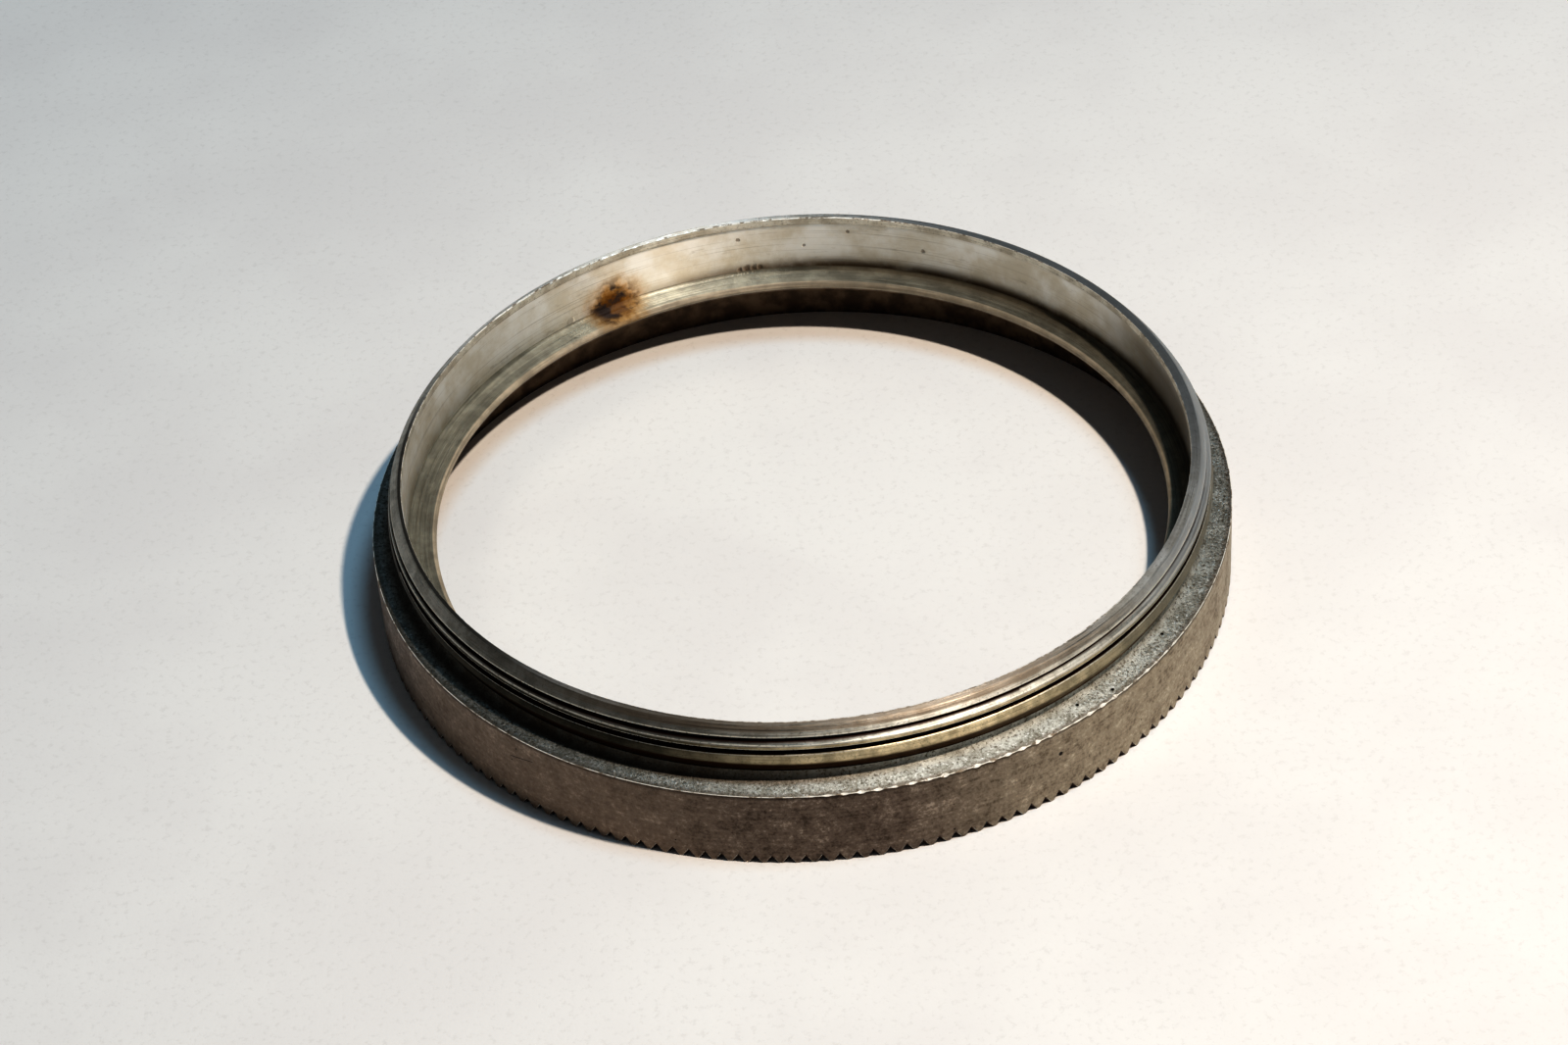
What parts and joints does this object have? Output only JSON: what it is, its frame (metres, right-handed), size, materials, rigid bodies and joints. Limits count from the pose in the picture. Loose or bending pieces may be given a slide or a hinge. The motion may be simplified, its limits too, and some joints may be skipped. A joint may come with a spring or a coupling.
{
  "type": "threaded step ring",
  "caption": "Short turned steel ring: a neck with a fine outside thread and a smooth pocket with a thin seat, on a wider flange with a notched lower edge.",
  "frame": {"origin": "centre of the ring's bottom plane, which its notched edge stands on", "axes": "+Z along the ring's axis, from the notched edge out of the threaded neck; X and Y are arbitrary, as the ring is round"},
  "size_m": [0.0546, 0.0546, 0.0093],
  "materials": {
    "turned_steel": "worn turned steel: fine turning lines, a dull brown film on the outer face, matt grey shoulder and seat, some rust stains and pits"
  },
  "bodies": {
    "root": {"step_ring": "turned_steel"}
  },
  "joints": []
}
